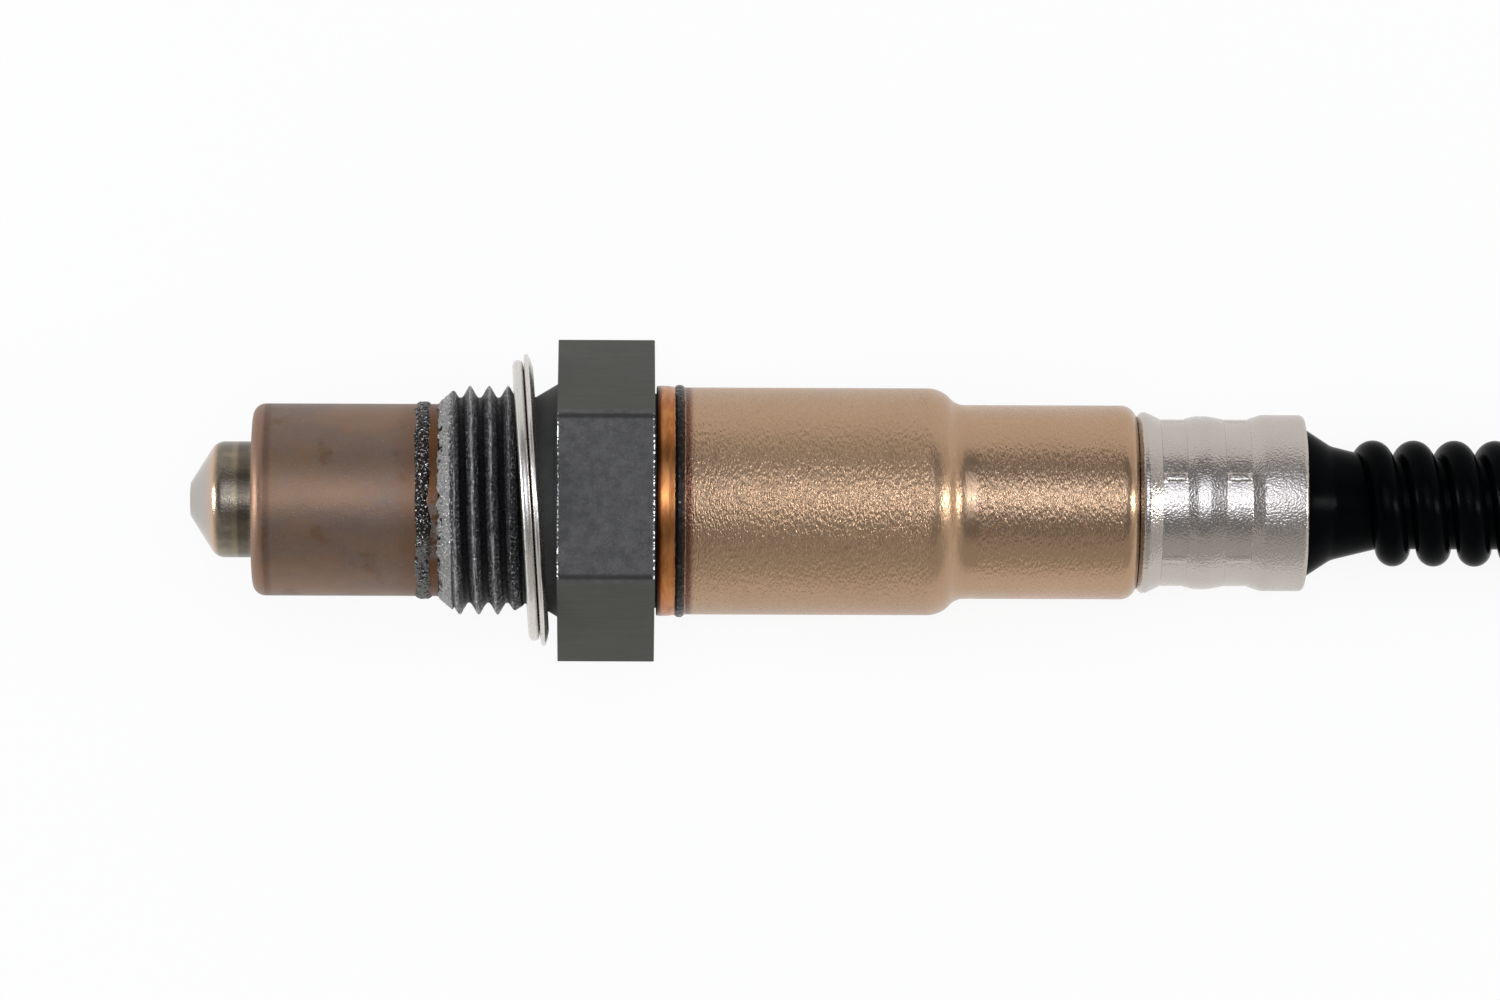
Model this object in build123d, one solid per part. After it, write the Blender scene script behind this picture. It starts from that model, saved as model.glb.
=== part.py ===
"""Wideband exhaust oxygen sensor with an M18 threaded shell, in millimetres.

The sensor's axis is X and its tip points to -X. The origin is the centre of the
seat, the front face of the spanner hexagon. One flat of the hexagon faces +Z and
the opposite one faces -Z, so the sensor can lie on it.

Profiles are drawn in the XY plane as (position along the axis, radius) and are
turned about the axis. Every station along the axis is worked out from the
driving dimensions below.
"""

from build123d import *
import math
import os

cut_over = 1.0               # reach of a cut past the piece it goes through

# ---- driving dimensions: threaded shell ------------------------------------
spanner_size = 22.0          # across the flats of the hexagon
hex_length = 7.6
hex_edge_break = 0.12
cone_length = 1.75           # collar that runs up to the seat
cone_diameter = 18.4
neck_diameter = 16.3         # relief that holds the gasket
neck_length = 0.65
runout_length = 1.55         # end of the thread, down to the neck
thread_diameter = 18.0       # M18 x 1.5, drawn as its outside cylinder
thread_length = 5.3
lead_in_length = 1.3
lead_in_depth = 1.35
front_spigot_length = 4.0    # carries the outer shield
nose_length = 4.0            # carries the inner shield
passage_diameter = 5.6
cavity_diameter = 12.0       # holds the ceramic stack
seat_depth = 7.0             # from the hexagon's front face to the seat's wide end
seat_cone_length = 1.0
seat_cone_narrow = 8.8
rear_spigot_length = 3.2     # carries the body sleeve
lip_wall = 1.0               # rolled rim over the press ring
lip_reach = 0.8
lip_chamfer = 0.7

# ---- driving dimensions: shields -------------------------------------------
outer_shield_diameter = 15.14
outer_shield_wall = 0.5
outer_shield_nose = 6.74     # from the inner shield's shoulder side to the spigot
outer_shield_round = 1.0
outer_shield_ports = 8
outer_port_diameter = 1.3
inner_shield_diameter = 9.14
inner_shield_wall = 0.4
tip_reach = 4.96             # inner shield ahead of the outer one
tip_cone_length = 2.09
tip_flat_diameter = 2.7
tip_cone_round = 1.1
tip_port_diameter = 1.8
inner_shield_ports = 6
inner_port_diameter = 1.2
inner_port_setback = 5.0     # from the outer shield's front face
shield_to_thread_gap = 0.08

# ---- driving dimensions: weld beads ----------------------------------------
bead_top_share = 0.45        # flat top of a bead, as a share of its width
shield_bead_width = 1.16
shield_bead_height = 0.2
shield_bead_from_thread = 0.75
sleeve_bead_width = 0.8
sleeve_bead_height = 0.2
sleeve_bead_from_edge = 1.42

# ---- driving dimensions: crush gasket --------------------------------------
gasket_bore = 18.1
gasket_sheet = 0.34
gasket_fold_gap = 0.04
gasket_bend_share = 0.3      # bevel of a fold, as a share of the rear lobe's width
gasket_rear_slope = 1.0      # height over which the rear lobe narrows to its edge
gasket_front_lobe = 22.3     # outside diameter of the round front lobe
gasket_rear_lobe = 23.0      # outside diameter of the thin rear lobe
gasket_front_lobe_gap = 0.22
gasket_from_seat = 2.15
gasket_hem = 1.3             # how far the turned-in edges reach back
gasket_lean_z = 3.7          # degrees about Z
gasket_lean_y = 0.6          # degrees about Y
gasket_floor_gap = 0.05

# ---- driving dimensions: body sleeve ---------------------------------------
sleeve_hex_gap = 0.15
sleeve_diameter = 17.9
sleeve_wall = 0.5
sleeve_swell = 0.13          # front end, upset by welding
sleeve_swell_end = 0.04      # what is left of the swell at the weld bead
sleeve_shoulder_at = 30.1    # corner of the shoulder, from the seat
sleeve_shoulder_round = 2.2
sleeve_shoulder_hollow = 1.35
sleeve_rear_diameter = 15.3
sleeve_rear_at = 45.6        # rear face, from the seat
sleeve_rear_round = 1.25
sleeve_neck_diameter = 10.4
sleeve_neck_length = 11.5

# ---- driving dimensions: crimp sleeve and boot -----------------------------
crimp_wall = 0.4
crimp_lip_diameter = 14.28
crimp_groove_diameter = 13.14
crimp_bulge_diameter = 13.66
crimp_land_diameter = 13.9
crimp_lip_length = 1.8
crimp_lip_chamfer = 0.35
crimp_groove_length = 1.94
crimp_bulge_length = 3.04
crimp_bulge_flat = 0.3       # share of the bulge that is straight
crimp_rise_length = 1.1
crimp_land_length = 3.38
crimp_rear_bore = 11.9
crimp_edge_round = 0.4
crimp_jaws = 6
crimp_ridge_width = 0.6
crimp_ridge_height = 0.16
crimp_ridge_angle = 74.0     # first ridge, from +Y towards +Z
boot_cone_length = 2.15
boot_cone_diameter = 9.0
boot_taper_length = 3.6
boot_core_diameter = 7.24
boot_bore = 4.8
boot_bore_taper = 3.4
rib_pitch = 3.23
rib_gap = 0.47               # core left bare between two turns
rib_seat_depth = 0.02        # rib centre below the core's surface
rib_section_sides = 12
rib_end_share = 0.94         # rounded end of the rib, as a share of its radius
rib_start = 4.59             # from the crimp sleeve's rear face
rib_turns = 4
cuff_gap = 0.8               # core left bare between the rib's end and the cuff
cuff_length = 3.6
cuff_diameter = 9.2
cuff_chamfer = 0.4
boot_end_gap = 0.05

# ---- driving dimensions: sensing element and ceramic stack -----------------
element_width = 4.2
element_thickness = 1.3
element_tip_gap = 3.0        # from the inner shield's front face
element_tail = 8.8           # reach into the contact holder
element_chamfer = 0.2
slot_clearance = 0.1
stack_clearance = 0.05
washer_thickness = 0.4
washer_step = 0.6            # how far the washer's bore clears the passage
front_insulator_length = 4.5
talc_length = 4.6
rear_insulator_length = 7.2
rear_nose_diameter = 9.0
rear_nose_length = 6.6
insulator_chamfer = 0.4
press_ring_thickness = 1.2
ring_clearance = 0.1

# ---- driving dimensions: contacts ------------------------------------------
holder_diameter = 12.4
holder_length = 11.4
clamp_wall = 0.35
clamp_length = 8.0
clamp_slot = 1.6
clamp_clearance = 0.02
tolerance_ring_sheet = 0.3
tolerance_ring_length = 6.0
tolerance_ring_waves = 10
tolerance_ring_crest = 0.44  # flat of a crest or trough, as a share of half a wave
tolerance_ring_clearance = 0.02
blade_width = 0.7
blade_thickness = 0.25
blade_height = 2.1           # from the element's mid-plane to the blade's middle
blade_touch = 3.872          # where the blade meets the element, from the holder's front
blade_tip_reach = 2.2        # turned-up tip ahead of that
blade_tip_lift = 0.9
blade_flat = 1.2
blade_rise = 2.8
blade_tail = 0.5             # behind the holder
blade_bend = 0.5
channel_clearance = 0.1
holder_web = 0.8             # wall left in front of the blades' channels
upper_pads = (-1.4, 0.0, 1.4)
lower_pads = (-1.1, 1.1)
link_length = 2.2
link_in_blade = 0.2          # overlap of the link with the blade's tail
link_in_barrel = 0.4
barrel_length = 3.5
barrel_wall = 0.35
conductor_diameter = 1.2
conductor_bare = 3.8
conductor_in_barrel = 3.2

# ---- driving dimensions: leads and grommet ---------------------------------
lead_diameter = 1.6
lead_circle = 6.0            # leads' circle through the grommet
upper_angles = (162, 90, 18)  # leads of the upper contacts, from +Y towards +Z
lower_angles = (234, 306)
lead_bundle_circle = 2.84    # leads' circle in the boot
lead_bend_radius = 6.0
lead_gather_start = 1.1      # from the grommet's rear face
lead_gather_length = 6.4
lead_mouth_gap = 2.2
grommet_length = 8.7
grommet_chamfer = 0.8
grommet_boss_length = 4.4
grommet_clearance = 0.1
grommet_hole_clearance = 0.02

# ---- stations along the axis -----------------------------------------------
seat = 0.0
cone_front = seat - cone_length
neck_front = cone_front - neck_length
thread_rear = neck_front - runout_length
thread_front = thread_rear - thread_length
front_spigot_face = thread_front - front_spigot_length
nose_face = front_spigot_face - nose_length
hex_rear = seat + hex_length
rear_spigot_face = hex_rear + rear_spigot_length

outer_shield_rear = thread_front - shield_to_thread_gap
outer_shield_front = nose_face - outer_shield_nose
tip_face = outer_shield_front - tip_reach

seat_wide = seat - seat_depth
seat_narrow = seat_wide - seat_cone_length
front_insulator_rear = seat_wide + washer_thickness + front_insulator_length
talc_rear = front_insulator_rear + talc_length
insulator_shoulder = talc_rear + rear_insulator_length
press_ring_rear = insulator_shoulder + press_ring_thickness
insulator_rear = insulator_shoulder + rear_nose_length

holder_front = insulator_rear
holder_rear = holder_front + holder_length
element_front = tip_face + element_tip_gap
element_rear = holder_front + element_tail
barrel_front = holder_rear + link_length
barrel_rear = barrel_front + barrel_length
lead_front = barrel_rear - conductor_in_barrel

grommet_rear = sleeve_rear_at - sleeve_wall
grommet_front = grommet_rear - grommet_length
sleeve_front = hex_rear + sleeve_hex_gap
neck_rear = sleeve_rear_at + sleeve_neck_length

crimp_front = sleeve_rear_at
first_groove = crimp_front + crimp_lip_length
second_groove = first_groove + crimp_groove_length + crimp_bulge_length
crimp_rear = second_groove + crimp_groove_length + crimp_rise_length + crimp_land_length
rib_radius = (rib_pitch - rib_gap) / 2
rib_front = crimp_rear + rib_start
rib_rear = rib_front + rib_turns * rib_pitch
cuff_front = rib_rear + rib_radius + cuff_gap
boot_rear = cuff_front + cuff_length

# ---- radii that follow from the sizes above --------------------------------
thread_radius = thread_diameter / 2
neck_radius = neck_diameter / 2
cavity_radius = cavity_diameter / 2
passage_radius = passage_diameter / 2
front_spigot_radius = outer_shield_diameter / 2 - outer_shield_wall
nose_radius = inner_shield_diameter / 2 - inner_shield_wall
rear_spigot_radius = sleeve_diameter / 2 - sleeve_wall
grommet_radius = sleeve_rear_diameter / 2 - sleeve_wall
holder_radius = holder_diameter / 2
lead_radius = lead_diameter / 2
conductor_radius = conductor_diameter / 2


def turned(points, rounds=None):
    """Turn a closed (position, radius) outline about the axis.

    rounds maps a point's number to the radius of its rounded corner.
    """
    radii = [(rounds or {}).get(number, 0) for number in range(len(points))]
    outline = FilletPolyline(*points, radius=radii, close=True)
    return revolve(make_face(outline), Axis.X)


def moved_path(points, rounds, shift):
    """The open path moved to its right by shift, and the corner radii that go with it."""
    lines = []
    for (x0, r0), (x1, r1) in zip(points, points[1:]):
        length = math.hypot(x1 - x0, r1 - r0)
        along = ((x1 - x0) / length, (r1 - r0) / length)
        lines.append(((x0 + shift * along[1], r0 - shift * along[0]), along))
    (x1, r1), along = lines[-1][0], lines[-1][1]
    last = math.dist(points[-2], points[-1])
    moved = [lines[0][0]]
    radii = []
    for (start, a), (other, b), radius in zip(lines, lines[1:], rounds):
        turn = a[0] * b[1] - a[1] * b[0]
        gap = (other[0] - start[0], other[1] - start[1])
        run = (gap[0] * b[1] - gap[1] * b[0]) / turn
        moved.append((start[0] + run * a[0], start[1] + run * a[1]))
        radii.append(max(radius + math.copysign(shift, turn), 0) if radius else 0)
    moved.append((x1 + last * along[0], r1 + last * along[1]))
    return moved, radii


def sheet_section(points, rounds, wall, inner_rounds=None):
    """Section of a sheet whose outside follows an open (position, radius) path.

    inner_rounds are the inside radii of its bends, 0 for a sharp one.
    """
    inner, bends = moved_path(points, rounds, wall)
    bends = bends if inner_rounds is None else inner_rounds
    radii = [0] + list(rounds) + [0, 0] + list(bends)[::-1] + [0]
    return make_face(FilletPolyline(*points, *inner[::-1], radius=radii, close=True))


def along_x(radius, start, end):
    """Plain cylinder on the axis from one station to another."""
    return turned([(start, 0), (start, radius), (end, radius), (end, 0)])


def hole_ring(count, circle, radius, start, end):
    """Cylinders parallel to the axis, evenly spaced on a circle."""
    pin = Pos((start + end) / 2, circle, 0) * Rot(0, 90, 0) * Cylinder(radius, end - start)
    return [Rot(360 / count * number, 0, 0) * pin for number in range(count)]


# ---- shell ------------------------------------------------------------------
def make_threaded_shell():
    """One forging: nose, spigots, threaded barrel, hexagon and rolled rear rim."""
    lip_radius = cavity_radius + lip_wall
    lip_rear = press_ring_rear + lip_wall
    body = turned(
        [
            (nose_face, passage_radius),
            (nose_face, nose_radius),
            (front_spigot_face, nose_radius),
            (front_spigot_face, front_spigot_radius),
            (thread_front, front_spigot_radius),
            (thread_front, thread_radius - lead_in_depth),
            (thread_front + lead_in_length, thread_radius),
            (thread_rear, thread_radius),
            (neck_front, neck_radius),
            (cone_front, neck_radius),
            (seat, cone_diameter / 2),
            (hex_rear, cone_diameter / 2),
            (hex_rear, rear_spigot_radius),
            (rear_spigot_face, rear_spigot_radius),
            (rear_spigot_face, lip_radius),
            (lip_rear - lip_chamfer, lip_radius),
            (lip_rear, lip_radius - lip_chamfer),
            (lip_rear, cavity_radius - lip_reach),
            (press_ring_rear, cavity_radius - lip_reach),
            (press_ring_rear, cavity_radius),
            (seat_wide, cavity_radius),
            (seat_narrow, seat_cone_narrow / 2),
            (seat_narrow, passage_radius),
        ]
    )
    sketch = RegularPolygon(spanner_size / 2, 6, major_radius=False, rotation=30)
    flats = Pos(seat, 0, 0) * Rot(0, 90, 0) * extrude(sketch, hex_length)
    rims = flats.edges().filter_by(GeomType.LINE).filter_by(Axis.X, reverse=True)
    flats = chamfer(rims, hex_edge_break)
    flats -= along_x(cone_diameter / 2 - hex_edge_break, seat - cut_over, hex_rear + cut_over)
    return body + flats


def make_crush_gasket():
    """Sheet folded twice and turned in at its rim: a round front lobe and a thin rear one."""
    front = gasket_front_lobe / 2
    rear = gasket_rear_lobe / 2
    bore = gasket_bore / 2
    sheet = gasket_sheet
    lobe_width = 2 * sheet + gasket_front_lobe_gap
    rear_width = 2 * sheet + gasket_fold_gap
    first = -(lobe_width + rear_width) / 2
    second = first + sheet + gasket_front_lobe_gap
    third = first + lobe_width
    fourth = third + sheet + gasket_fold_gap
    back = fourth + sheet
    bend = lobe_width / 2
    corner = gasket_bend_share * rear_width
    section = Polyline(
        (first, front - gasket_hem),
        (first, front - bend),
    )
    section += ThreePointArc((first, front - bend), (first + bend, front), (third, front - bend))
    section += Polyline(
        (third, front - bend),
        (third, rear - corner),
        (third + corner, rear),
        (third + sheet + corner / 2, rear),
        (back, rear - gasket_rear_slope),
        (back, rear - gasket_hem),
        (fourth, rear - gasket_hem),
        (fourth, rear - gasket_rear_slope),
        (third + sheet, rear - sheet),
        (third + sheet, bore + corner),
        (third + sheet - corner, bore),
        (second + corner, bore),
        (second, bore + corner),
        (second, front - sheet),
        (first + sheet, front - sheet),
        (first + sheet, front - gasket_hem),
        (first, front - gasket_hem),
    )
    ring = revolve(make_face(section), Axis.X)
    lift = max(rear - spanner_size / 2 + gasket_floor_gap, 0)
    place = Pos(seat - gasket_from_seat, 0, lift) * Rot(0, gasket_lean_y, gasket_lean_z)
    return place * ring


# ---- shields -----------------------------------------------------------------
def make_outer_shield():
    """Drawn cup with gas ports in its front face, open at the rear."""
    radius = outer_shield_diameter / 2
    port_circle = (inner_shield_diameter / 2 + radius - outer_shield_wall) / 2
    cup = revolve(
        sheet_section(
            [
                (outer_shield_front, inner_shield_diameter / 2),
                (outer_shield_front, radius),
                (outer_shield_rear, radius),
            ],
            [outer_shield_round],
            outer_shield_wall,
            [0],
        ),
        Axis.X,
    )
    ports = hole_ring(
        outer_shield_ports,
        port_circle,
        outer_port_diameter / 2,
        outer_shield_front - cut_over,
        outer_shield_front + cut_over,
    )
    return cup - ports


def make_inner_shield():
    """Drawn tube with a tapered tip, side ports inside the outer shield and a tip port."""
    radius = inner_shield_diameter / 2
    tube = revolve(
        sheet_section(
            [
                (tip_face, tip_port_diameter / 2),
                (tip_face, tip_flat_diameter / 2),
                (tip_face + tip_cone_length, radius),
                (front_spigot_face, radius),
            ],
            [0, tip_cone_round],
            inner_shield_wall,
            [0, 0],
        ),
        Axis.X,
    )
    port_at = outer_shield_front + inner_port_setback
    port = Pos(port_at, 0, 0) * Cylinder(
        inner_port_diameter / 2, 2 * radius, align=(Align.CENTER, Align.CENTER, Align.MIN)
    )
    ports = [Rot(360 / inner_shield_ports * number, 0, 0) * port for number in range(inner_shield_ports)]
    return tube - ports


def make_bead(centre, width, height, radius):
    """Low ring of weld metal on a tube, with sloping sides."""
    top = bead_top_share * width
    return turned(
        [
            (centre - width / 2, radius),
            (centre - top / 2, radius + height),
            (centre + top / 2, radius + height),
            (centre + width / 2, radius),
        ]
    )


def make_shield_weld():
    centre = thread_front - shield_bead_from_thread - shield_bead_width / 2
    return make_bead(centre, shield_bead_width, shield_bead_height, outer_shield_diameter / 2)


def make_sleeve_weld():
    centre = sleeve_front + sleeve_bead_from_edge + sleeve_bead_width / 2
    return make_bead(centre, sleeve_bead_width, sleeve_bead_height, sleeve_diameter / 2)


# ---- body sleeve, crimp sleeve and boot --------------------------------------
def make_body_sleeve():
    """Drawn tube: wide barrel, shoulder, rear barrel and the neck that the boot grips."""
    wide = sleeve_diameter / 2
    narrow = sleeve_rear_diameter / 2
    shoulder_end = sleeve_shoulder_at + wide - narrow
    neck = sleeve_neck_diameter / 2
    tube = revolve(
        sheet_section(
            [
                (sleeve_front, wide),
                (sleeve_shoulder_at, wide),
                (shoulder_end, narrow),
                (sleeve_rear_at, narrow),
                (sleeve_rear_at, neck),
                (neck_rear, neck),
            ],
            [sleeve_shoulder_round, sleeve_shoulder_hollow, sleeve_rear_round, 0],
            sleeve_wall,
            [0, 0, 0, 0],
        ),
        Axis.X,
    )
    swollen = turned(
        [
            (sleeve_front, wide - sleeve_wall / 2),
            (sleeve_front, wide + sleeve_swell),
            (sleeve_front + sleeve_bead_from_edge, wide + sleeve_swell_end),
            (sleeve_front + sleeve_bead_from_edge, wide - sleeve_wall / 2),
        ]
    )
    return tube + swollen


def crimp_outline(depth):
    """The crimp sleeve's profile from the lip to the rear, depth below its outside."""
    lip = crimp_lip_diameter / 2
    groove = crimp_groove_diameter / 2
    bulge = crimp_bulge_diameter / 2
    land = crimp_land_diameter / 2
    first_end = first_groove + crimp_groove_length
    second_end = second_groove + crimp_groove_length
    flank = crimp_bulge_length * (1 - crimp_bulge_flat) / 2
    points = [
        (crimp_front, lip - crimp_lip_chamfer),
        (crimp_front + crimp_lip_chamfer, lip),
        (crimp_front + 2 * crimp_lip_chamfer, lip),
        (first_groove, groove),
        (first_end, groove),
        (first_end + flank, bulge),
        (second_groove - flank, bulge),
        (second_groove, groove),
        (second_end, groove),
        (second_end + crimp_rise_length, land),
        (crimp_rear, land),
        (crimp_rear, crimp_rear_bore / 2),
    ]
    return moved_path(points, [0] * (len(points) - 2), depth)[0] if depth else points


def make_crimp_sleeve():
    """Aluminium sleeve pressed on the boot in two grooves, a ridge between each two jaws."""
    outside = crimp_outline(0)
    rear_edge = len(outside) - 2
    radii = {1: crimp_edge_round, rear_edge: crimp_edge_round}
    sleeve = turned(outside + crimp_outline(crimp_wall)[::-1], radii)
    groove = crimp_groove_diameter / 2
    ridge = Pos(0, groove + (crimp_ridge_height - crimp_wall) / 2, 0) * Box(
        crimp_groove_length, crimp_wall + crimp_ridge_height, crimp_ridge_width
    )
    for start in (first_groove, second_groove):
        placed = Pos(start + crimp_groove_length / 2, 0, 0) * ridge
        for number in range(crimp_jaws):
            sleeve += Rot(crimp_ridge_angle + 360 / crimp_jaws * number, 0, 0) * placed
    return sleeve


def make_cable_boot():
    """Moulded boot: clamped collar, cone, core with one helical rib, and a plain cuff."""
    inside = crimp_outline(crimp_wall)
    start = inside[0][0]
    grip = sleeve_neck_diameter / 2
    neck = crimp_rear_bore / 2 - boot_end_gap
    cone_start = crimp_rear - crimp_land_length / 2
    cone_end = crimp_rear + boot_cone_length
    core = boot_core_diameter / 2
    cuff = cuff_diameter / 2
    bore = boot_bore / 2
    collar = turned(inside + [(inside[-1][0], grip), (start, grip)])
    cone = turned(
        [
            (cone_start, 0),
            (cone_start, neck),
            (crimp_rear, neck),
            (cone_end, boot_cone_diameter / 2),
            (cone_end + boot_taper_length, core),
            (cone_end + boot_taper_length, 0),
        ]
    )
    cuff_ring = turned(
        [
            (cuff_front, 0),
            (cuff_front, cuff),
            (boot_rear - cuff_chamfer, cuff),
            (boot_rear, cuff - cuff_chamfer),
            (boot_rear, 0),
        ]
    )

    rib_line = Helix(rib_pitch, rib_turns * rib_pitch, core - rib_seat_depth)
    rib_section = RegularPolygon(rib_radius, rib_section_sides)
    rib_section = Plane(origin=rib_line @ 0, x_dir=(1, 0, 0), z_dir=rib_line % 0) * rib_section
    rib = sweep(rib_section, path=rib_line, is_frenet=True)
    behind = Plane(origin=(rib_front, 0, 0), x_dir=(0, 0, -1), z_dir=(1, 0, 0)).location
    boot = along_x(core, cone_end, cuff_front + cuff_length / 2) + behind * rib
    for end in (rib_line @ 0, rib_line @ 1):
        boot += behind * Pos(*end) * Sphere(rib_end_share * rib_radius)
    boot = boot + cone + collar + cuff_ring

    passage = turned(
        [
            (crimp_front, 0),
            (crimp_front, grip),
            (neck_rear, grip),
            (neck_rear + boot_bore_taper, bore),
            (boot_rear + cut_over, bore),
            (boot_rear + cut_over, 0),
        ]
    )
    return boot - passage


# ---- sensing element and ceramic stack ----------------------------------------
def slot(start, end):
    """Rectangular passage for the sensing element."""
    return Pos((start + end) / 2, 0, 0) * Box(
        end - start, element_width + 2 * slot_clearance, element_thickness + 2 * slot_clearance
    )


def make_sensing_element():
    """Flat zirconia strip with its heater laminated in."""
    strip = Pos((element_front + element_rear) / 2, 0, 0) * Box(
        element_rear - element_front, element_width, element_thickness
    )
    return chamfer(strip.faces().sort_by(Axis.X)[0].edges(), element_chamfer)


def make_seat_washer():
    """Thin conical washer between the shell's seat and the front insulator."""
    wide = cavity_radius - stack_clearance
    return turned(
        [
            (seat_narrow, passage_radius + washer_step),
            (seat_narrow, seat_cone_narrow / 2),
            (seat_wide, cavity_radius),
            (seat_wide + washer_thickness, wide),
            (seat_narrow + washer_thickness, seat_cone_narrow / 2),
            (seat_narrow + washer_thickness, passage_radius + washer_step),
        ]
    )


def make_front_insulator():
    """Alumina bush that centres the element in the shell."""
    wide = cavity_radius - stack_clearance
    face = seat_narrow + washer_thickness
    bush = turned(
        [
            (face, 0),
            (face, seat_cone_narrow / 2),
            (seat_wide + washer_thickness, wide),
            (front_insulator_rear, wide),
            (front_insulator_rear, 0),
        ]
    )
    return bush - slot(face - cut_over, front_insulator_rear + cut_over)


def make_talc_seal():
    """Pressed talc powder that seals the element to the shell."""
    element = Pos((front_insulator_rear + talc_rear) / 2, 0, 0) * Box(
        2 * talc_length, element_width, element_thickness
    )
    return along_x(cavity_radius, front_insulator_rear, talc_rear) - element


def make_rear_insulator():
    """Alumina bush behind the talc, with a narrow nose through the rolled rim."""
    wide = cavity_radius - stack_clearance
    narrow = rear_nose_diameter / 2
    bush = turned(
        [
            (talc_rear, 0),
            (talc_rear, wide),
            (insulator_shoulder, wide),
            (insulator_shoulder, narrow),
            (insulator_rear - insulator_chamfer, narrow),
            (insulator_rear, narrow - insulator_chamfer),
            (insulator_rear, 0),
        ]
    )
    return bush - slot(talc_rear - cut_over, insulator_rear + cut_over)


def make_press_ring():
    """Soft steel ring that the rolled rim presses on the insulator's shoulder."""
    inner = rear_nose_diameter / 2 + ring_clearance
    outer = cavity_radius - stack_clearance
    return turned(
        [
            (insulator_shoulder, inner),
            (insulator_shoulder, outer),
            (press_ring_rear, outer),
            (press_ring_rear, inner),
        ]
    )


# ---- contacts -------------------------------------------------------------------
def make_contact_holder(pads, side):
    """Half of the ceramic contact holder; side is 1 above the element and -1 below it."""
    middle = (holder_front + holder_rear) / 2
    half = Pos(middle, 0, 0) * Rot(0, 90, 0) * Cylinder(holder_radius, holder_length)
    half -= Pos(middle, 0, -side * holder_radius) * Box(
        2 * holder_length, 3 * holder_radius, 2 * holder_radius
    )
    half -= slot(holder_front - cut_over, holder_rear + cut_over)
    channel_top = blade_height + blade_thickness + channel_clearance
    channel_width = blade_width + 2 * channel_clearance
    for pad in pads:
        channel = Pos(middle + holder_web, pad, side * channel_top / 2) * Box(
            holder_length, channel_width, channel_top
        )
        half -= channel
    return half


def lead_place(angle):
    """Centre of a lead in the YZ plane at the grommet; angle runs from +Y towards +Z."""
    turn = math.radians(angle)
    return lead_circle / 2 * math.cos(turn), lead_circle / 2 * math.sin(turn)


def make_contact(pad, side, angle):
    """Spring blade on the element, a link across, and the barrel crimped on the lead."""
    half = blade_thickness / 2
    low = element_thickness / 2 + half
    touch = holder_front + blade_touch
    blade_path = FilletPolyline(
        (touch - blade_tip_reach, low + blade_tip_lift),
        (touch, low),
        (touch + blade_flat, low),
        (touch + blade_flat + blade_rise, blade_height),
        (holder_rear + blade_tail, blade_height),
        radius=blade_bend,
    )
    blade = extrude(make_face(offset(blade_path, half, side=Side.BOTH)), blade_width / 2, both=True)
    blade = Rot(90, 0, 0) * blade
    if side < 0:
        blade = mirror(blade, Plane.XY)
    blade = Pos(0, pad, 0) * blade

    lead_y, lead_z = lead_place(angle)
    barrel_radius = conductor_radius + barrel_wall
    inward = 1 - (conductor_radius + barrel_wall / 2) / (lead_circle / 2)
    section = Rectangle(blade_thickness, blade_width)
    link_front = holder_rear + blade_tail - link_in_blade
    link_rear = barrel_front + link_in_barrel
    start = Plane(origin=(link_front, pad, side * blade_height), z_dir=(1, 0, 0), x_dir=(0, 0, 1))
    end = Plane(origin=(link_rear, inward * lead_y, inward * lead_z), z_dir=(1, 0, 0), x_dir=(0, 0, 1))
    link = loft([start * section, end * section])

    middle = Pos((barrel_front + barrel_rear) / 2, lead_y, lead_z) * Rot(0, 90, 0)
    barrel = middle * Cylinder(barrel_radius, barrel_length)
    bore = middle * Cylinder(conductor_radius, barrel_length + 2 * cut_over)
    return blade + link + barrel - bore


def make_holder_clamp():
    """Slit spring sleeve that grips the two halves of the contact holder."""
    inner = holder_radius + clamp_clearance
    middle = (holder_front + holder_rear) / 2
    ring = turned(
        [
            (middle - clamp_length / 2, inner),
            (middle - clamp_length / 2, inner + clamp_wall),
            (middle + clamp_length / 2, inner + clamp_wall),
            (middle + clamp_length / 2, inner),
        ]
    )
    return ring - Pos(middle, inner, 0) * Box(2 * clamp_length, holder_radius, clamp_slot)


def make_tolerance_ring():
    """Corrugated spring ring that centres the clamped holder in the body sleeve."""
    inner = holder_radius + clamp_clearance + clamp_wall + tolerance_ring_clearance
    outer = rear_spigot_radius - tolerance_ring_clearance
    half = tolerance_ring_sheet / 2
    crests = 2 * tolerance_ring_waves
    points = []
    for number in range(crests):
        radius = (outer - half) if number % 2 else (inner + half)
        for side in (-1, 1):
            turn = (number + side * tolerance_ring_crest / 2) * math.pi / tolerance_ring_waves
            points.append((radius * math.cos(turn), radius * math.sin(turn)))
    loop = points[-1:] + points + points[:1]
    faces = []
    for shift in (half, -half):
        moved = moved_path(loop, [0] * len(points), shift)[0]
        faces.append(make_face(Polyline(*moved[1:-1], close=True)))
    band = faces[0] - faces[1]
    middle = (holder_front + holder_rear) / 2
    return Pos(middle - tolerance_ring_length / 2, 0, 0) * Rot(0, 90, 0) * extrude(
        band, tolerance_ring_length
    )


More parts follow.
